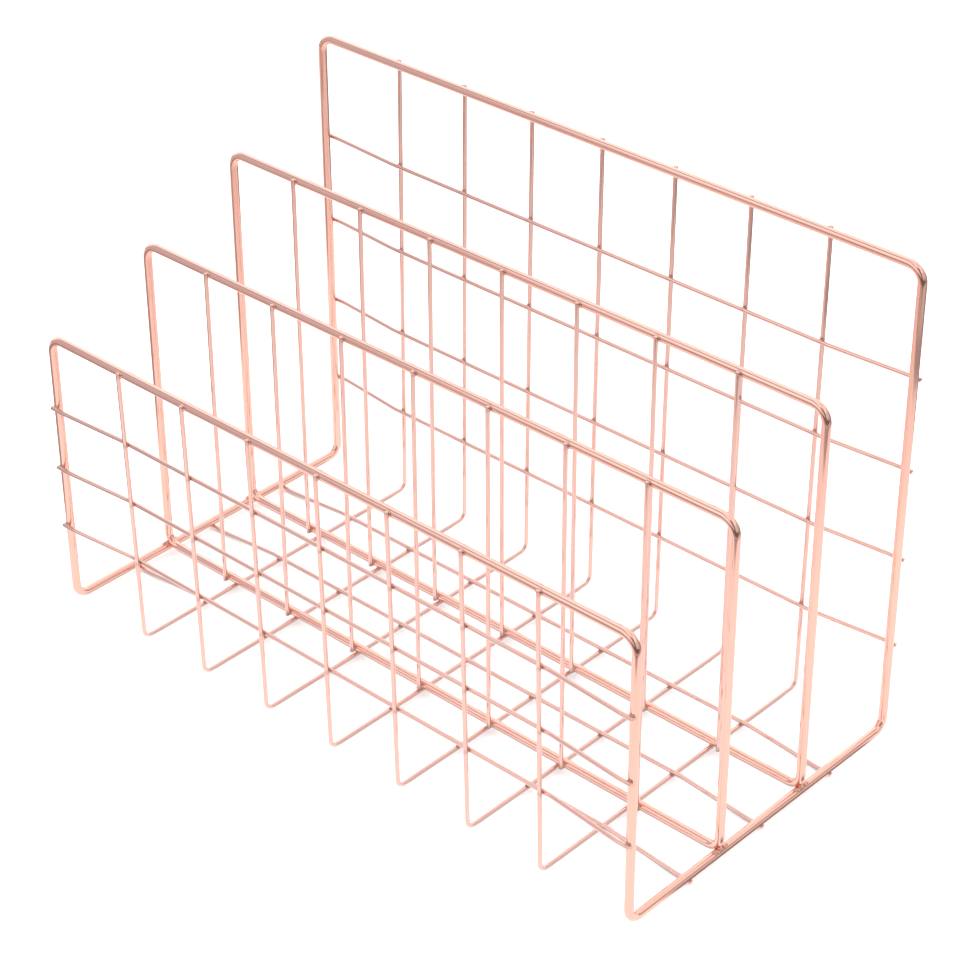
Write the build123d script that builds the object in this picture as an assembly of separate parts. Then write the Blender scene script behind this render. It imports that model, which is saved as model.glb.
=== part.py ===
from build123d import *
import math
import os

# Letter rack of welded round wire: an outer frame, two dividers and a U-shaped grid.
# Millimetres, +Z up, front at -Y, +X to the right as seen from the front.
# The origin is the middle of the footprint, on the surface that the rack stands on.

# Wire stock
frame_wire = 3.6            # diameter of the thick wire: the outer frame and the divider frames
grid_wire = 1.8             # diameter of the thin wire: every other piece
weld_sink = 0.3             # how deep a wire is pressed into the one that it is welded to

# Overall sizes, between wire centre lines
rack_width = 300.0          # left uprights to right uprights
rack_depth = 152.8          # front uprights to rear uprights
front_height = 123.8        # side rails up to the front top bar
front_divider_height = 145.1
rear_divider_height = 167.9
rear_height = 201.9
front_pocket = 51.5         # front uprights to front divider
middle_pocket = 48.8        # front divider to rear divider

# Bends, as centre-line radii
frame_top_bend = 6.0
frame_foot_bend = 5.5
divider_top_bend = 6.0
divider_foot_bend = 5.5
u_wire_bend = 3.5
cross_wire_bend = 20.0      # the slight set at each end of a cross wire

# Thin wires
u_wire_count = 7
u_wire_side_gap = 42.0      # side uprights to the outermost U wires
u_foot_inset = 2.4          # a U wire's lower corners stand this far inside its tips
divider_wire_count = 7
front_cross_count = 3
front_cross_lowest = 36.0   # side rails up to the lowest cross wire
front_cross_top_gap = 31.8  # highest cross wire up to the front top bar
rear_cross_count = 4
rear_cross_lowest = 38.5
rear_cross_top_gap = 45.8
base_cross_gap = 17.8       # a divider to the base cross wire outside it

# Wire ends
tip_inset = 0.5             # upright wire tips stop this far short of the bar's outer side
cross_end_inset = 0.3       # cross wire ends stop this far short of the frame's outer side
set_clearance = 3.0         # a cross wire's set keeps this far from the wires on either side

# Radii, and the spacing of two wires that are welded across each other
frame_r = frame_wire / 2
grid_r = grid_wire / 2
frame_to_grid = frame_r + grid_r - weld_sink
grid_to_grid = grid_wire - weld_sink

# Places of the main planes
half_width = rack_width / 2
front_y = -rack_depth / 2
rear_y = rack_depth / 2
front_divider_y = front_y + front_pocket
rear_divider_y = front_divider_y + middle_pocket
rail_z = frame_to_grid + grid_r
front_top_z = rail_z + front_height
rear_top_z = rail_z + rear_height

# The dividers' foot bends sit on the side rails, which sets the height of their bottom bars.
foot_reach = divider_foot_bend + frame_wire - weld_sink
divider_bar_z = rail_z - divider_foot_bend + math.sqrt(foot_reach**2 - divider_foot_bend**2)

# The U wires lie outside the top bars and under the dividers' bottom bars.
tip_reach = frame_r - tip_inset
cross_reach = frame_r - cross_end_inset
u_front_y = front_y - frame_to_grid
u_rear_y = rear_y + frame_to_grid
u_base_z = divider_bar_z - frame_to_grid
u_front_tip_z = front_top_z + tip_reach
u_rear_tip_z = rear_top_z + tip_reach


def spread(first, last, count):
    step = (last - first) / (count - 1)
    return [first + step * i for i in range(count)]


def bent_wire(points, bends, diameter, closed=False):
    path = FilletPolyline(*points, radius=bends, close=closed)
    section = Plane(origin=path @ 0, z_dir=path % 0) * Circle(diameter / 2)
    return sweep(section, path=path)


def straight_wire(start, end, diameter):
    path = Line(start, end)
    section = Plane(origin=start, z_dir=path % 0) * Circle(diameter / 2)
    return sweep(section, path=path)


# Outer frame: front loop, side rails and rear loop, all one closed wire.
def make_outer_frame():
    points = [
        (-half_width, front_y, front_top_z),
        (half_width, front_y, front_top_z),
        (half_width, front_y, rail_z),
        (half_width, rear_y, rail_z),
        (half_width, rear_y, rear_top_z),
        (-half_width, rear_y, rear_top_z),
        (-half_width, rear_y, rail_z),
        (-half_width, front_y, rail_z),
    ]
    bends = ([frame_top_bend] * 2 + [frame_foot_bend] * 2) * 2
    return bent_wire(points, bends, frame_wire, closed=True)


# Divider frame: a closed upright rectangle whose foot bends are coped over the side rails.
def make_divider_frame(y, height, outer_frame):
    top_z = rail_z + height
    points = [
        (-half_width, y, top_z),
        (half_width, y, top_z),
        (half_width, y, divider_bar_z),
        (-half_width, y, divider_bar_z),
    ]
    bends = [divider_top_bend] * 2 + [divider_foot_bend] * 2
    return bent_wire(points, bends, frame_wire, closed=True) - outer_frame


# U wire: down the front, along the base and up the rear, notched where it meets thick wire.
# Its legs lean in a little on the way down.
def make_u_wire(x, frames):
    points = [
        (x, u_front_y, u_front_tip_z),
        (x, u_front_y + u_foot_inset, u_base_z),
        (x, u_rear_y - u_foot_inset, u_base_z),
        (x, u_rear_y, u_rear_tip_z),
    ]
    return bent_wire(points, [u_wire_bend] * 2, grid_wire) - frames


# How far outside the frame's centre line the inner side of a leaning U wire carries a cross wire.
def upright_offset(z, tip_z):
    lean = u_foot_inset * (tip_z - z) / (tip_z - u_base_z)
    return frame_to_grid - lean - grid_to_grid


# Cross wire: its middle lies inside the U wires and its ends lie outside the outer frame.
# place(x, offset) gives a point of it at x, that far outside the frame's centre line.
def make_cross_wire(place, middle_offset, cutters):
    end_x = half_width + cross_reach
    outer_x = half_width - frame_r - set_clearance
    inner_x = half_width - u_wire_side_gap + grid_r + set_clearance
    right_half = [(inner_x, middle_offset), (outer_x, frame_to_grid), (end_x, frame_to_grid)]
    left_half = [(-x, offset) for x, offset in reversed(right_half)]
    points = [place(x, offset) for x, offset in left_half + right_half]
    return bent_wire(points, [cross_wire_bend] * 4, grid_wire) - cutters


# Divider wire: upright, on the front of its divider frame.
def make_divider_wire(x, y, height, divider_frame):
    wire_y = y - frame_to_grid
    bottom = (x, wire_y, divider_bar_z - tip_reach)
    top = (x, wire_y, rail_z + height + tip_reach)
    return straight_wire(bottom, top, grid_wire) - divider_frame


parts = {}

outer_frame = make_outer_frame()
front_divider = make_divider_frame(front_divider_y, front_divider_height, outer_frame)
rear_divider = make_divider_frame(rear_divider_y, rear_divider_height, outer_frame)
parts["outer_frame"] = outer_frame
parts["front_divider_frame"] = front_divider
parts["rear_divider_frame"] = rear_divider

u_wires = []
u_edge = half_width - u_wire_side_gap
for i, x in enumerate(spread(-u_edge, u_edge, u_wire_count)):
    u_wire = make_u_wire(x, [outer_frame, front_divider, rear_divider])
    parts[f"u_wire_{i + 1}"] = u_wire
    u_wires.append(u_wire)
cutters = [outer_frame] + u_wires

front_low = rail_z + front_cross_lowest
front_high = front_top_z - front_cross_top_gap
for i, z in enumerate(spread(front_low, front_high, front_cross_count)):
    parts[f"front_cross_wire_{i + 1}"] = make_cross_wire(
        lambda x, offset: (x, front_y - offset, z), upright_offset(z, u_front_tip_z), cutters)

rear_low = rail_z + rear_cross_lowest
rear_high = rear_top_z - rear_cross_top_gap
for i, z in enumerate(spread(rear_low, rear_high, rear_cross_count)):
    parts[f"rear_cross_wire_{i + 1}"] = make_cross_wire(
        lambda x, offset: (x, rear_y + offset, z), upright_offset(z, u_rear_tip_z), cutters)

base_offset = rail_z - u_base_z - grid_to_grid
base_places = [
    front_divider_y - base_cross_gap,
    (front_divider_y + rear_divider_y) / 2,
    rear_divider_y + base_cross_gap,
]
for i, y in enumerate(base_places):
    parts[f"base_cross_wire_{i + 1}"] = make_cross_wire(
        lambda x, offset: (x, y, rail_z - offset), base_offset, cutters)

divider_pitch = rack_width / (divider_wire_count + 1)
dividers = [
    ("front_divider_wire", front_divider_y, front_divider_height, front_divider),
    ("rear_divider_wire", rear_divider_y, rear_divider_height, rear_divider),
]
for name, y, height, divider_frame in dividers:
    for i in range(divider_wire_count):
        x = -half_width + divider_pitch * (i + 1)
        parts[f"{name}_{i + 1}"] = make_divider_wire(x, y, height, divider_frame)

os.makedirs("parts", exist_ok=True)
for node, shape in parts.items():
    export_step(shape, f"parts/{node}.step")
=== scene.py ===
import math
import random

import bmesh
import bpy
from mathutils import Matrix, Quaternion, Vector, kdtree


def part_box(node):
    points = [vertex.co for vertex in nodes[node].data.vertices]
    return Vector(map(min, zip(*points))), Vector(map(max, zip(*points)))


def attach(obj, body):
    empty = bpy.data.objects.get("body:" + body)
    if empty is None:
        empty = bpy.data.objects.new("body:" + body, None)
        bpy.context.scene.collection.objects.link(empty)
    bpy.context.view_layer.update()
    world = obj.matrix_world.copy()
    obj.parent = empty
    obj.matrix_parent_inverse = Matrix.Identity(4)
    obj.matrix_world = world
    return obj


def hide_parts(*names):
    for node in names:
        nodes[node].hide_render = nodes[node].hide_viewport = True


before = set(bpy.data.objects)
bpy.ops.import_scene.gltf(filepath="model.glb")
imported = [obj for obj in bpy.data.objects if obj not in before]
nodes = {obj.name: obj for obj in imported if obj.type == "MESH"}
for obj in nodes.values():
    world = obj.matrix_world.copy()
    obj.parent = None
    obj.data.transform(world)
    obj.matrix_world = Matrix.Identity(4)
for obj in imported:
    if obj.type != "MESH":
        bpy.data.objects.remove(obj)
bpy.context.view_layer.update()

# Letter rack of welded round wire with a polished rose gold plating.
# Metres, in the frame's own axes. Every place on the rack comes from the frame.

mm = 0.001
white = (1, 1, 1, 1)
scene = bpy.context.scene


def nodesNamed(start):
    return sorted(node for node in nodes if node.startswith(start))


def topNear(node, y, reach):
    return max(v.co.z for v in nodes[node].data.vertices if abs(v.co.y - y) < reach)


# Wire radii and the main planes
frameLow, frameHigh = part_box("outer_frame")
barLow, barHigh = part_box("front_divider_frame")
pinLow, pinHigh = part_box("front_divider_wire_1")
thickRadius = (barHigh.y - barLow.y) / 2
thinRadius = (pinHigh.x - pinLow.x) / 2
sideX = frameHigh.x - thickRadius
frontY = frameLow.y + thickRadius
rearY = frameHigh.y - thickRadius
railZ = frameLow.z + thickRadius
frontTopZ = topNear("outer_frame", frontY, thickRadius) - thickRadius
rearTopZ = frameHigh.z - thickRadius
print(f"frame read: thick wire {thickRadius * 2 / mm:.2f} mm, thin wire {thinRadius * 2 / mm:.2f} mm")


# Weld spots: where two wires are pressed together. Each belongs to the wire that is welded on.
weldKinds = {
    "grid": {"spread": 1.15 * mm, "depth": 0.50 * mm, "darkening": 1.0},      # thin wire on thin wire
    "bar": {"spread": 1.40 * mm, "depth": 0.60 * mm, "darkening": 1.0},       # thin wire on thick wire
    "tip": {"spread": 1.55 * mm, "depth": 0.70 * mm, "darkening": 1.0},       # end of a thin wire on a top bar
    "foot": {"spread": 1.00 * mm, "depth": 0.80 * mm, "darkening": 0.6},      # lumps under a divider's foot
}
beadShape = {"segments": 12, "rings": 8, "least": 0.88, "most": 1.12}    # no two beads are quite alike
welds = {node: [] for node in nodes}


def addWeld(node, kind, place, press, scale=1.0):
    welds[node].append((kind, Vector(place), Vector(press).normalized(), scale))


def addBeads(bm, drawn, node):
    dice = random.Random(node)
    for kind, place, press, scale in welds[node]:
        size = weldKinds[kind]
        turn = press.to_track_quat("Z", "Y") @ Quaternion((0, 0, 1), dice.uniform(0, math.pi))
        wide, long = [size["spread"] * scale * dice.uniform(beadShape["least"], beadShape["most"])
                      for i in range(2)]
        shape = Matrix.Diagonal((wide, long, size["depth"] * scale, 1))
        placed = Matrix.Translation(place) @ turn.to_matrix().to_4x4() @ shape
        made = bmesh.ops.create_uvsphere(bm, u_segments=beadShape["segments"], v_segments=beadShape["rings"],
                                         radius=1.0, matrix=placed)
        for v in made["verts"]:
            v[drawn] = v.co
            for face in v.link_faces:
                face.material_index = 1


# Wire laying: a ring of edges is pulled along the runs and spun round the bends.
wireLay = {
    "thickSides": 32,
    "thinSides": 20,
    "bendStep": math.radians(7.5),
    "longestStep": 14 * mm,
    "shortestStep": 0.2 * mm,
    "endStep": 1.2 * mm,
    "weldSteps": (0.4 * mm, 1.0 * mm, 1.8 * mm, 3.0 * mm, 5.0 * mm),     # finer near a weld, for the darkening round it
    "weldReach": thickRadius + thinRadius,
    "seamReach": 0.01 * mm,
    "endSegments": 3,
}


def ringOf(made):
    ring = [g for g in made if isinstance(g, bmesh.types.BMVert)]
    edges = [g for g in made if isinstance(g, bmesh.types.BMEdge)]
    return ring, edges


def markLength(ring, drawn, length):
    for v in ring:
        v[drawn] = Vector((v[drawn].x, v[drawn].y, length))


def runSteps(start, end):
    span = (end - start).length
    heading = (end - start) / span
    marks = [wireLay["endStep"], span - wireLay["endStep"], span]
    for node in welds:
        for kind, place, press, scale in welds[node]:
            weldMark = (place - start).dot(heading)
            if (place - start - heading * weldMark).length < wireLay["weldReach"]:
                marks += [weldMark + side * step for step in wireLay["weldSteps"] for side in (-1, 1)]
    steps = []
    last = 0.0
    for mark in sorted(m for m in marks if 0.0 < m <= span):
        if mark < span and min(mark - last, span - mark) < wireLay["shortestStep"]:
            continue
        count = max(1, math.ceil((mark - last) / wireLay["longestStep"]))
        steps += [(mark - last) / count] * count
        last = mark
    return heading, steps


def startRing(bm, drawn, place, heading, radius, sides):
    ring = bmesh.ops.create_circle(bm, segments=sides, radius=radius)["verts"]
    for v in ring:
        v[drawn] = v.co
    turned = Matrix.Translation(place) @ heading.to_track_quat("Z", "Y").to_matrix().to_4x4()
    bmesh.ops.transform(bm, matrix=turned, verts=ring)
    return ring, list(bm.edges)


def layWire(bm, drawn, corners, bends, radius, sides, closed=False):
    stops = [Vector(c) for c in corners]
    if closed:
        seam = (stops[0] + stops[-1]) / 2
        stops = [seam] + stops + [seam]
    here = stops[0]
    heading = (stops[1] - here).normalized()
    ring, edges = startRing(bm, drawn, here, heading, radius, sides)
    firstRing, firstEdges = ring, edges
    length = 0.0
    for i in range(1, len(stops)):
        stop = stops[i]
        tangent = 0.0
        if i < len(stops) - 1:
            bend = bends[i - 1]
            onward = (stops[i + 1] - stop).normalized()
            angle = (stop - here).angle(onward)
            tangent = bend * math.tan(angle / 2)
        runEnd = stop - (stop - here).normalized() * tangent
        heading, steps = runSteps(here, runEnd)
        for step in steps:
            ring, edges = ringOf(bmesh.ops.extrude_edge_only(bm, edges=edges)["geom"])
            bmesh.ops.translate(bm, verts=ring, vec=heading * step)
            length += step
            markLength(ring, drawn, length)
        if tangent:
            inward = (onward - heading * onward.dot(heading)).normalized()
            centre = runEnd + inward * bend
            count = max(2, math.ceil(angle / wireLay["bendStep"]))
            for k in range(count):
                made = bmesh.ops.spin(bm, geom=ring + edges, cent=centre, axis=heading.cross(onward),
                                      dvec=(0, 0, 0), angle=angle / count, steps=1)
                ring, edges = ringOf(made["geom_last"])
                length += bend * angle / count
                markLength(ring, drawn, length)
            here = stop + onward * tangent
    if closed:
        bmesh.ops.remove_doubles(bm, verts=firstRing + ring, dist=wireLay["seamReach"])
    return firstEdges, edges


def roundEnd(bm, edges, rounding):
    bmesh.ops.contextual_create(bm, geom=edges)
    bmesh.ops.bevel(bm, geom=edges, offset=rounding, offset_type="OFFSET", segments=wireLay["endSegments"],
                    profile=0.5, affect="EDGES", material=-1)


# Plated finish
finish = {
    "plate": (0.905, 0.525, 0.435, 1),         # polished rose gold
    "plateDeep": (0.885, 0.490, 0.400, 1),     # where the plating is a little thicker
    "thinPlatePaintedShade": (0.815, 0.515, 0.450, 1),     # the same plating, painted a little darker and greyer on the thin wire: painted shade and a cool reflection
    "thinPlateDeepPaintedShade": (0.795, 0.480, 0.415, 1),
    "darkening": (0.400, 0.235, 0.185, 1),          # brown darkening round a weld
    "bead": (0.860, 0.500, 0.410, 1),
    "polish": 0.08,
    "beadPolish": 0.14,
    "streakRough": 0.04,
    "darkeningRough": 0.16,
    "relief": 0.15,
    "streakDepth": 0.02 * mm,
    "beadDepth": 0.15 * mm,
}
drawnMarks = {
    "streaksAcross": 2600.0,                   # per metre, round the wire
    "streaksAlong": 30.0,
    "streakDetail": 3.0,
    "toneAcross": 160.0,
    "toneAlong": 11.0,
    "toneDetail": 2.0,
    "grain": 0.6,
    "contrast": (0.3, 0.7),
}
darkeningMarks = {
    "spread": 1.7 * mm,
    "grain": 1100.0,
    "detail": 2.0,
    "brokenEdge": 0.6,
    "contrast": (0.45, 1.35),
}


def putNode(tree, kind, settings=None, sockets=None):
    node = tree.nodes.new(kind)
    for field, value in (settings or {}).items():
        setattr(node, field, value)
    for socket, value in (sockets or {}).items():
        if isinstance(value, bpy.types.NodeSocket):
            tree.links.new(value, node.inputs[socket])
        else:
            node.inputs[socket].default_value = value
    return node


def fade(tree, value, start, full, low=0.0, high=1.0):
    return putNode(tree, "ShaderNodeMapRange", {"interpolation_type": "SMOOTHSTEP"},
                   {"Value": value, "From Min": start, "From Max": full,
                    "To Min": low, "To Max": high}).outputs["Result"]


def mixColours(tree, mask, first, second):
    return putNode(tree, "ShaderNodeMix", {"data_type": "RGBA"}, {0: mask, 6: first, 7: second}).outputs[2]


def addScaled(tree, value, factor, base):
    return putNode(tree, "ShaderNodeMath", {"operation": "MULTIPLY_ADD"},
                   {0: value, 1: factor, 2: base}).outputs["Value"]


def newGroup(name, inputs, outputs):
    tree = bpy.data.node_groups.new(name, "ShaderNodeTree")
    for label, value in inputs.items():
        tree.interface.new_socket(label, in_out="INPUT", socket_type="NodeSocketFloat").default_value = value
    for label in outputs:
        tree.interface.new_socket(label, in_out="OUTPUT", socket_type="NodeSocketFloat")
    return tree, tree.nodes.new("NodeGroupInput").outputs, tree.nodes.new("NodeGroupOutput").inputs


def stretchedNoise(tree, across, along, detail):
    drawn = putNode(tree, "ShaderNodeAttribute", {"attribute_name": "drawn"})
    scale = putNode(tree, "ShaderNodeCombineXYZ", None, {"X": across, "Y": across, "Z": along})
    place = putNode(tree, "ShaderNodeVectorMath", {"operation": "MULTIPLY"},
                    {0: drawn.outputs["Vector"], 1: scale.outputs["Vector"]})
    noise = putNode(tree, "ShaderNodeTexNoise", None,
                    {"Vector": place.outputs["Vector"], "Scale": 1.0, "Detail": detail,
                     "Roughness": drawnMarks["grain"]})
    return fade(tree, noise.outputs["Fac"], *drawnMarks["contrast"])


# Fine lines left along the wire by the drawing die, and the slow change of tone of the plating
def makeDrawnWire():
    tree, given, result = newGroup(
        "drawnWire",
        {"Streaks Across": drawnMarks["streaksAcross"], "Streaks Along": drawnMarks["streaksAlong"],
         "Tone Across": drawnMarks["toneAcross"], "Tone Along": drawnMarks["toneAlong"]},
        ["Streak", "Tone"])
    streak = stretchedNoise(tree, given["Streaks Across"], given["Streaks Along"],
                            drawnMarks["streakDetail"])
    tone = stretchedNoise(tree, given["Tone Across"], given["Tone Along"], drawnMarks["toneDetail"])
    tree.links.new(streak, result["Streak"])
    tree.links.new(tone, result["Tone"])
    return tree


# Brown darkening round the welds, with a broken edge
def makeWeldDarkening():
    tree, given, result = newGroup("weldDarkeningGroup", {"Grain": darkeningMarks["grain"]}, ["Heat"])
    darkening = putNode(tree, "ShaderNodeAttribute", {"attribute_name": "weldHeat"})
    place = putNode(tree, "ShaderNodeTexCoord")
    noise = putNode(tree, "ShaderNodeTexNoise", None,
                    {"Vector": place.outputs["Object"], "Scale": given["Grain"],
                     "Detail": darkeningMarks["detail"]})
    edge = addScaled(tree, noise.outputs["Fac"], darkeningMarks["brokenEdge"], darkening.outputs["Fac"])
    tree.links.new(fade(tree, edge, *darkeningMarks["contrast"]), result["Heat"])
    return tree


drawnWire = makeDrawnWire()
weldDarkeningGroup = makeWeldDarkening()


def platedMetal(name, tone, deepTone, polish, reliefDepth):
    material = bpy.data.materials.new(name)
    material.use_nodes = True
    tree = material.node_tree
    shader = tree.nodes["Principled BSDF"]
    shader.inputs["Metallic"].default_value = 1.0
    streaks = putNode(tree, "ShaderNodeGroup", {"node_tree": drawnWire}).outputs
    darkening = putNode(tree, "ShaderNodeGroup", {"node_tree": weldDarkeningGroup}).outputs["Heat"]
    plate = mixColours(tree, streaks["Tone"], tone, deepTone)
    darkened = mixColours(tree, darkening, plate, finish["darkening"])
    rough = addScaled(tree, streaks["Streak"], finish["streakRough"], polish)
    dulled = addScaled(tree, darkening, finish["darkeningRough"], rough)
    relief = putNode(tree, "ShaderNodeBump", None,
                     {"Strength": finish["relief"], "Distance": reliefDepth, "Height": streaks["Streak"]})
    tree.links.new(darkened, shader.inputs["Base Color"])
    tree.links.new(dulled, shader.inputs["Roughness"])
    tree.links.new(relief.outputs["Normal"], shader.inputs["Normal"])
    return material


frameFinish = platedMetal("rose gold thick wire", finish["plate"], finish["plateDeep"],
                          finish["polish"], finish["streakDepth"])
gridFinish = platedMetal("rose gold thin wire", finish["thinPlatePaintedShade"], finish["thinPlateDeepPaintedShade"],
                         finish["polish"], finish["streakDepth"])
beadFinish = platedMetal("plated weld bead", finish["bead"], finish["plateDeep"],
                         finish["beadPolish"], finish["beadDepth"])
print("finishes made")


def newWire():
    bm = bmesh.new()
    return bm, bm.verts.layers.float_vector.new("drawn")


def finishPiece(bm, node, material):
    bmesh.ops.recalc_face_normals(bm, faces=bm.faces)
    darkening = bm.verts.layers.float.new("weldHeat")
    for v in bm.verts:
        place, index, distance = weldTree.find(v.co)
        v[darkening] = weldHeats[index] * math.exp(-(distance / darkeningMarks["spread"]) ** 2)
    for face in bm.faces:
        face.smooth = True
    mesh = bpy.data.meshes.new(f"plated_{node}")
    bm.to_mesh(mesh)
    bm.free()
    mesh.materials.append(material)
    mesh.materials.append(beadFinish)
    piece = bpy.data.objects.new(f"plated_{node}", mesh)
    scene.collection.objects.link(piece)
    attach(piece, "root")
    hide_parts(node)


def makeThickWire(node, corners, bends):
    bm, drawn = newWire()
    layWire(bm, drawn, corners, bends, thickRadius, wireLay["thickSides"], closed=True)
    addBeads(bm, drawn, node)
    finishPiece(bm, node, frameFinish)


def makeThinWire(node, corners, bends, endRounding):
    bm, drawn = newWire()
    for end in layWire(bm, drawn, corners, bends, thinRadius, wireLay["thinSides"]):
        roundEnd(bm, end, endRounding)
    addBeads(bm, drawn, node)
    finishPiece(bm, node, gridFinish)


# Outer frame: front loop, side rails and rear loop, all one closed wire that starts on the left rail.
outerFrame = {"topBend": 6 * mm, "footBend": 5.5 * mm}


def makeOuterFrame():
    corners = [
        (-sideX, frontY, railZ), (-sideX, frontY, frontTopZ),
        (sideX, frontY, frontTopZ), (sideX, frontY, railZ),
        (sideX, rearY, railZ), (sideX, rearY, rearTopZ),
        (-sideX, rearY, rearTopZ), (-sideX, rearY, railZ),
    ]
    foot, top = outerFrame["footBend"], outerFrame["topBend"]
    makeThickWire("outer_frame", corners, [foot, top, top, foot] * 2)


# Divider frames: closed upright rectangles that stand on the side rails.
dividerFrame = {
    "topBend": 6 * mm,
    "footBend": 5.5 * mm,
    # weld lumps: shift along the rail in mm, angle up from the rail's outer side in degrees, scale
    "footLumps": (
        (-3.1, 75, 0.7), (-2.0, 68, 0.85), (-0.7, 58, 0.5), (0.0, 78, 1.15),
        (0.7, 58, 0.5), (2.1, 68, 0.9), (3.3, 75, 0.75),
    ),
}
dividerNodes = ["front_divider_frame", "rear_divider_frame"]


def dividerPlaces(node):
    low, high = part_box(node)
    return (low.y + high.y) / 2, low.z + thickRadius, high.z - thickRadius


def weldDividerFrame(node):
    y, barZ, topZ = dividerPlaces(node)
    for side in (-1, 1):
        for shift, angle, scale in dividerFrame["footLumps"]:
            outward = Vector((side * math.cos(math.radians(angle)), 0, math.sin(math.radians(angle))))
            railMiddle = Vector((side * sideX, y + shift * mm, railZ))
            addWeld(node, "foot", railMiddle + outward * thickRadius, outward, scale)


def makeDividerFrame(node):
    y, barZ, topZ = dividerPlaces(node)
    corners = [(-sideX, y, barZ), (-sideX, y, topZ), (sideX, y, topZ), (sideX, y, barZ)]
    foot, top = dividerFrame["footBend"], dividerFrame["topBend"]
    makeThickWire(node, corners, [foot, top, top, foot])


# U wires: down the front, along the base and up the rear.
uWire = {"bend": 3.5 * mm, "footInset": 2.4 * mm, "endRounding": 0.45 * mm}
uWireNodes = nodesNamed("u_wire_")
uWireXs = [sum(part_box(node), Vector()).x / 2 for node in uWireNodes]


def uWirePlaces(node):
    low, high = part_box(node)
    frontTip = topNear(node, low.y + thinRadius, thinRadius)
    x = (low.x + high.x) / 2
    return x, low.y + thinRadius, high.y - thinRadius, low.z + thinRadius, frontTip, high.z


def weldUWire(node):
    x, front, rear, base, frontTip, rearTip = uWirePlaces(node)
    addWeld(node, "tip", (x, (front + thinRadius + frontY - thickRadius) / 2, frontTopZ), (0, 1, 0))
    addWeld(node, "tip", (x, (rear - thinRadius + rearY + thickRadius) / 2, rearTopZ), (0, 1, 0))
    for divider in dividerNodes:
        y, barZ, topZ = dividerPlaces(divider)
        addWeld(node, "bar", (x, y, (base + thinRadius + barZ - thickRadius) / 2), (0, 0, 1))


def makeUWire(node):
    x, front, rear, base, frontTip, rearTip = uWirePlaces(node)
    inset = uWire["footInset"]
    corners = [(x, front, frontTip), (x, front + inset, base), (x, rear - inset, base), (x, rear, rearTip)]
    makeThinWire(node, corners, [uWire["bend"]] * 2, uWire["endRounding"])


# Cross wires: the middle lies inside the U wires, and the ends are set outwards onto the frame.
crossWire = {"setBend": 20 * mm, "setClearance": 3 * mm, "endRounding": 0.25 * mm}
crossNodes = {panel: nodesNamed(f"{panel}_cross_wire_") for panel in ("front", "rear", "base")}


def crossPlaces(panel, node):
    low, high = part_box(node)
    y, z = (low.y + high.y) / 2, (low.z + high.z) / 2
    if panel == "front":
        return lambda x, depth: Vector((x, depth, z)), high.y - thinRadius, low.y + thinRadius
    if panel == "rear":
        return lambda x, depth: Vector((x, depth, z)), low.y + thinRadius, high.y - thinRadius
    return lambda x, depth: Vector((x, y, depth)), high.z - thinRadius, low.z + thinRadius


def weldCrossWire(panel, node):
    at, middle, end = crossPlaces(panel, node)
    outward = (at(0, end) - at(0, middle)).normalized()
    for x in uWireXs:
        addWeld(node, "grid", at(x, middle) + outward * thinRadius, outward)
    for x in (-sideX, sideX):
        addWeld(node, "bar", at(x, end) - outward * thinRadius, outward)


def makeCrossWire(panel, node):
    at, middle, end = crossPlaces(panel, node)
    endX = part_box(node)[1].x
    outerX = sideX - thickRadius - crossWire["setClearance"]
    innerX = max(uWireXs) + thinRadius + crossWire["setClearance"]
    right = [at(innerX, middle), at(outerX, end), at(endX, end)]
    left = [Vector((-p.x, p.y, p.z)) for p in reversed(right)]
    makeThinWire(node, left + right, [crossWire["setBend"]] * 4, crossWire["endRounding"])


# Divider wires: upright, on the front of their divider frame.
dividerWire = {"endRounding": 0.45 * mm}
dividerWireNodes = {divider: nodesNamed(divider.replace("frame", "wire_")) for divider in dividerNodes}


def weldDividerWire(divider, node):
    low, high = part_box(node)
    y, barZ, topZ = dividerPlaces(divider)
    for kind, z in (("bar", barZ), ("tip", topZ)):
        addWeld(node, kind, ((low.x + high.x) / 2, (high.y + y - thickRadius) / 2, z), (0, 1, 0))


def makeDividerWire(node):
    low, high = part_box(node)
    x, y = (low.x + high.x) / 2, low.y + thinRadius
    makeThinWire(node, [(x, y, low.z), (x, y, high.z)], [], dividerWire["endRounding"])


# The welds come first, because every wire takes its darkening from all of them.
for node in dividerNodes:
    weldDividerFrame(node)
for node in uWireNodes:
    weldUWire(node)
for panel in crossNodes:
    for node in crossNodes[panel]:
        weldCrossWire(panel, node)
for divider in dividerNodes:
    for node in dividerWireNodes[divider]:
        weldDividerWire(divider, node)
weldSpots = [weld for node in welds for weld in welds[node]]
weldHeats = [weldKinds[kind]["darkening"] for kind, place, press, scale in weldSpots]
weldTree = kdtree.KDTree(len(weldSpots))
for i, (kind, place, press, scale) in enumerate(weldSpots):
    weldTree.insert(place, i)
weldTree.balance()
print(f"welds placed: {len(weldSpots)}")

makeOuterFrame()
for node in dividerNodes:
    makeDividerFrame(node)
for node in uWireNodes:
    makeUWire(node)
for panel in crossNodes:
    for node in crossNodes[panel]:
        makeCrossWire(panel, node)
for divider in dividerNodes:
    for node in dividerWireNodes[divider]:
        makeDividerWire(node)
print("wires laid")


# Stage: a pale floor in soft even light. What the wires mirror is a painted reflection, a studio of its own
# that only glossy rays see: a white table with a dark edge, a bright backdrop, windows on the left and the
# right, and dimmer walls. It is painted in patches, the later ones on top. A patch has a tone, and the
# measures that it fades in over, each with the value where it starts and the value where it is full.
stage = {
    "floorSize": 12.0,
    "floorTone": (0.93, 0.93, 0.93, 1),
    "lightStrength": 1.95,
    "sideways": (0.735, 0.678, 0.0),           # to the right as the camera sees it
    "away": (-0.680, 0.733, 0.0),              # away from the camera
}


def mathNode(tree, operation, first, second=0.0):
    return putNode(tree, "ShaderNodeMath", {"operation": operation}, {0: first, 1: second}).outputs["Value"]


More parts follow.
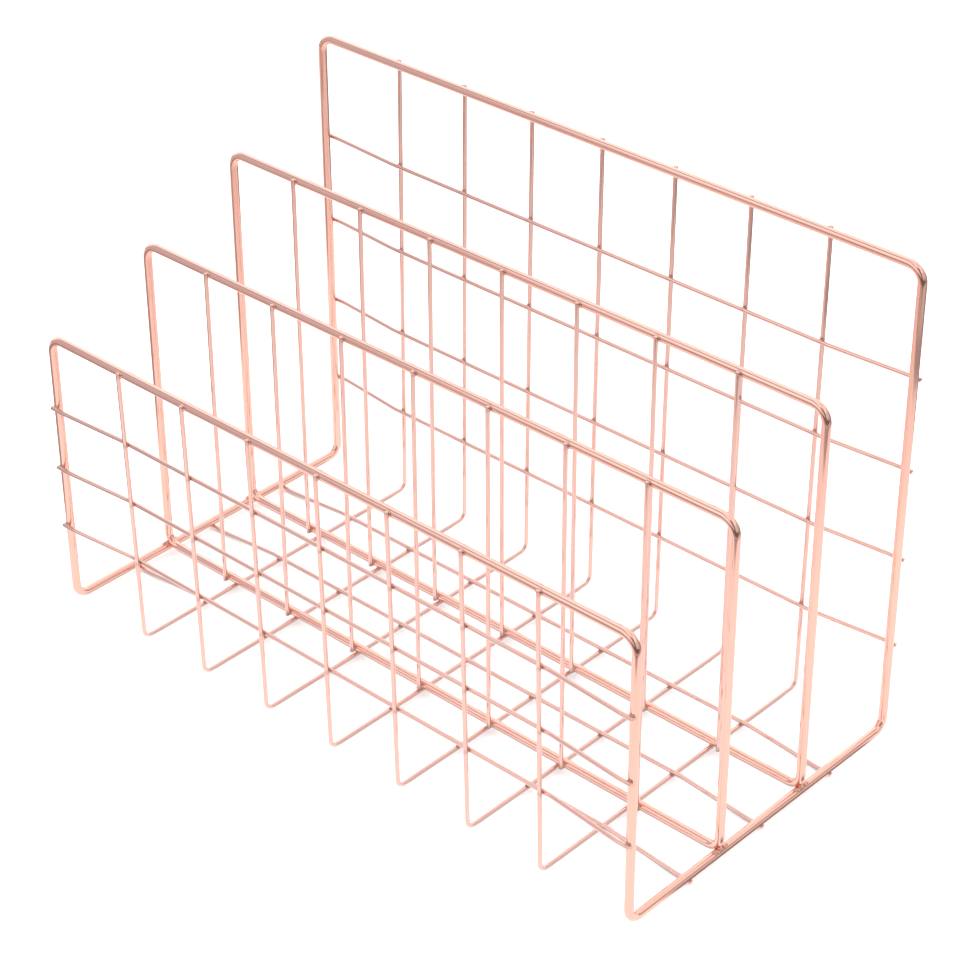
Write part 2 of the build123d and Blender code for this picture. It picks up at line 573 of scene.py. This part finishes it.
def vectorNode(tree, operation, first, second=(0, 0, 0), result="Vector"):
    node = putNode(tree, "ShaderNodeVectorMath", {"operation": operation}, {0: first, 1: second})
    return node.outputs[result]


def patchMask(tree, measures, fades):
    mask = 1.0
    for measure, start, full in fades:
        mask = mathNode(tree, "MULTIPLY", fade(tree, measures[measure], start, full), mask)
    return mask


def paintPatches(tree, level, measures, patches):
    for tone, *fades in patches.values():
        mask = patchMask(tree, measures, fades)
        level = putNode(tree, "ShaderNodeMix", {"data_type": "FLOAT"},
                        {0: mask, 2: level, 3: tone}).outputs[0]
    return level


# Glossy rays see the painted reflection, and all other rays the plain floor or the even light.
def showPaintedReflection(tree, plain, paintedReflection):
    glossy = putNode(tree, "ShaderNodeLightPath").outputs["Is Glossy Ray"]
    return putNode(tree, "ShaderNodeMixShader", None, {0: glossy, 1: plain, 2: paintedReflection}).outputs["Shader"]


# The mirrored table, an oval: a painted reflection, which the floor shows as a glow to glossy rays only.
# Reach is how far a wire is from the spot that it mirrors, and startX is roughly that wire's own x.
table = {
    "nearTone": 1.30,
    "farTone": 1.00,
    "farReach": (0.12, 0.40),
    "middle": (-0.17, 0.08, 0.0),
    "half": (0.60, 0.40, 1.0),
    "openRear": (0.30, 0.24),                  # past here it runs on without an edge
    "paintedDarkPatch": (-0.30, -0.18, 0.0),           # a painted dark patch on the mirrored table
    # cool tint of the painted shade under the wires
    "paintedShadeTint": (0.84, 0.97, 1.04, 1),
    "outward": 0.8,                            # share of the reach that leads out from the right rail
    "patches": {
        # painted shade: the mirrored table is darker where it lies close under the wires
        "paintedShadeUnderWires": (0.80, ("outX", 0.150, 0.146), ("outY", 0.074, 0.068), ("reach", 0.012, 0.005)),
        "pastTable": (0.70, ("edge", 0.0, 0.02)),
        # painted dark patch in the reflection
        "paintedDarkPatch": (0.45, ("fromPaintedDarkPatch", 0.15, 0.09)),
        "tableEdge": (0.40, ("edge", -0.012, 0.0), ("edge", 0.04, 0.02)),
        "belowCamera": (0.18, ("edge", 0.0, 0.02), ("away", -0.36, -0.46)),
        # painted shadow: a dark strip beside the right rail, mirrored by the rail's underside
        "paintedShadowBesideRightRail": (0.34, ("x", 0.146, 0.150), ("x", 0.24, 0.20), ("y", -0.058, -0.044),
                            ("y", 0.074, 0.066), ("reach", 0.0018, 0.0032), ("reach", 0.021, 0.014),
                            ("startX", 0.1478, 0.1490)),
    },
}


def makeFloor():
    material = bpy.data.materials.new("pale floor and painted reflection")
    material.use_nodes = True
    tree = material.node_tree
    tree.nodes.clear()
    place = putNode(tree, "ShaderNodeTexCoord").outputs["Object"]
    split = putNode(tree, "ShaderNodeSeparateXYZ", None, {"Vector": place}).outputs
    offset = vectorNode(tree, "SUBTRACT", place, table["middle"])
    offset = vectorNode(tree, "DIVIDE", offset, table["half"])
    rim = mathNode(tree, "SUBTRACT", vectorNode(tree, "LENGTH", offset, result="Value"), 1.0)
    rim = mathNode(tree, "MULTIPLY", rim, table["half"][1])
    reach = putNode(tree, "ShaderNodeLightPath").outputs["Ray Length"]
    outward = mathNode(tree, "MULTIPLY", reach, table["outward"])
    measures = {
        "x": split["X"],
        "y": split["Y"],
        "startX": mathNode(tree, "SUBTRACT", split["X"], outward),
        "outX": mathNode(tree, "ABSOLUTE", split["X"]),
        "outY": mathNode(tree, "ABSOLUTE", split["Y"]),
        "away": vectorNode(tree, "DOT_PRODUCT", place, stage["away"], "Value"),
        "edge": mathNode(tree, "MULTIPLY", rim, fade(tree, split["Y"], *table["openRear"])),
        "fromPaintedDarkPatch": vectorNode(tree, "DISTANCE", place, table["paintedDarkPatch"], "Value"),
        "reach": reach,
    }
    level = fade(tree, reach, *table["farReach"], table["nearTone"], table["farTone"])
    level = paintPatches(tree, level, measures, table["patches"])
    # the painted shade under the wires is also tinted cool
    shadeTone, *shadeFades = table["patches"]["paintedShadeUnderWires"]
    tint = mixColours(tree, patchMask(tree, measures, shadeFades), white, table["paintedShadeTint"])
    paintedReflection = putNode(tree, "ShaderNodeEmission", None, {"Color": tint, "Strength": level})
    pale = putNode(tree, "ShaderNodeBsdfDiffuse", None, {"Color": stage["floorTone"]})
    shown = showPaintedReflection(tree, pale.outputs["BSDF"], paintedReflection.outputs["Emission"])
    putNode(tree, "ShaderNodeOutputMaterial", None, {"Surface": shown})
    bm = bmesh.new()
    bmesh.ops.create_grid(bm, x_segments=1, y_segments=1, size=stage["floorSize"] / 2)
    mesh = bpy.data.meshes.new("floor")
    bm.to_mesh(mesh)
    bm.free()
    mesh.materials.append(material)
    floor = bpy.data.objects.new("floor", mesh)
    scene.collection.objects.link(floor)


# The mirrored room: a painted reflection that only glossy rays see, with painted highlights and shade.
# Its measures are parts of the direction that a wire looks in.
room = {
    "leftTone": 0.72,
    "rightTone": 0.66,
    "leftToRight": (-0.3, 0.5),
    "rightFootShade": 0.70,                    # the right wall is darker at its foot
    "rightFoot": (0.0, 0.25),
    "nearWallLift": 0.15,
    "nearWall": (-0.04, -0.26),
    "columnMiddle": 0.02,                      # of the dark column on the camera's side
    "coolTint": (0.95, 1.02, 1.16, 1),         # on the dimmer parts at the left
    "coolFades": (("sideways", -0.2, -0.6), ("level", 1.1, 0.75)),
    "patches": {
        "leftWindow": (1.40, ("slant", 0.54, 0.62), ("sideways", -0.56, -0.64)),
        "rightWindow": (1.20, ("up", 0.48, 0.58), ("up", 0.92, 0.84), ("sideways", 0.2, 0.4)),
        "overheadLight": (1.22, ("up", 0.66, 0.76), ("sideways", -0.48, -0.40), ("sideways", 0.40, 0.20)),
        "gapBesideIt": (0.45, ("up", 0.58, 0.68), ("sideways", -0.64, -0.58), ("sideways", -0.40, -0.48)),
        "leftSkirting": (0.62, ("height", 0.20, 0.04), ("sideways", -0.75, -0.90), ("away", -0.45, -0.32)),
        "backdrop": (1.50, ("away", 0.40, 0.60)),
        "cameraSide": (0.20, ("away", -0.50, -0.65), ("column", 0.26, 0.14)),
    },
}


def makeLight():
    world = bpy.data.worlds.new("soft light and painted reflection")
    scene.world = world
    world.use_nodes = True
    tree = world.node_tree
    tree.nodes.clear()
    place = putNode(tree, "ShaderNodeTexCoord").outputs["Generated"]
    up = putNode(tree, "ShaderNodeSeparateXYZ", None, {"Vector": place}).outputs["Z"]
    sideways = vectorNode(tree, "DOT_PRODUCT", place, stage["sideways"], "Value")
    away = vectorNode(tree, "DOT_PRODUCT", place, stage["away"], "Value")
    fromColumn = mathNode(tree, "SUBTRACT", sideways, room["columnMiddle"])
    measures = {
        "up": up,
        "sideways": sideways,
        "away": away,
        "slant": mathNode(tree, "SUBTRACT", up, away),
        "height": mathNode(tree, "ABSOLUTE", up),
        "column": mathNode(tree, "ABSOLUTE", fromColumn),
    }
    rightShade = fade(tree, up, *room["rightFoot"], room["rightFootShade"], 1.0)
    rightTone = mathNode(tree, "MULTIPLY", rightShade, room["rightTone"])
    level = fade(tree, sideways, *room["leftToRight"], room["leftTone"], rightTone)
    level = mathNode(tree, "ADD", level, fade(tree, away, *room["nearWall"], 0.0, room["nearWallLift"]))
    level = paintPatches(tree, level, measures, room["patches"])
    measures["level"] = level
    tint = mixColours(tree, patchMask(tree, measures, room["coolFades"]), white, room["coolTint"])
    # painted reflection: only glossy rays see this room
    paintedReflection = putNode(tree, "ShaderNodeBackground", None, {"Color": tint, "Strength": level})
    even = putNode(tree, "ShaderNodeBackground", None, {"Color": white, "Strength": stage["lightStrength"]})
    shown = showPaintedReflection(tree, even.outputs["Background"], paintedReflection.outputs["Background"])
    putNode(tree, "ShaderNodeOutputWorld", None, {"Surface": shown})


viewpoint = {
    "place": (0.62235, -0.66175, 0.67004),
    "azimuth": math.radians(42.86),
    "elevation": math.radians(32.61),
    "roll": math.radians(-0.31),
    "lens": 104.6,
    "sensorWidth": 36.0,
}


def makeCamera():
    camera = bpy.data.objects.new("camera", bpy.data.cameras.new("camera"))
    scene.collection.objects.link(camera)
    camera.data.lens = viewpoint["lens"]
    camera.data.sensor_width = viewpoint["sensorWidth"]
    azimuth, elevation = viewpoint["azimuth"], viewpoint["elevation"]
    forward = Vector((-math.sin(azimuth) * math.cos(elevation), math.cos(azimuth) * math.cos(elevation),
                      -math.sin(elevation)))
    camera.location = viewpoint["place"]
    camera.rotation_mode = "QUATERNION"
    camera.rotation_quaternion = forward.to_track_quat("-Z", "Y") @ Quaternion((0, 0, 1), viewpoint["roll"])
    scene.camera = camera


makeFloor()
makeLight()
makeCamera()
scene.view_settings.view_transform = "Standard"
print("stage set")
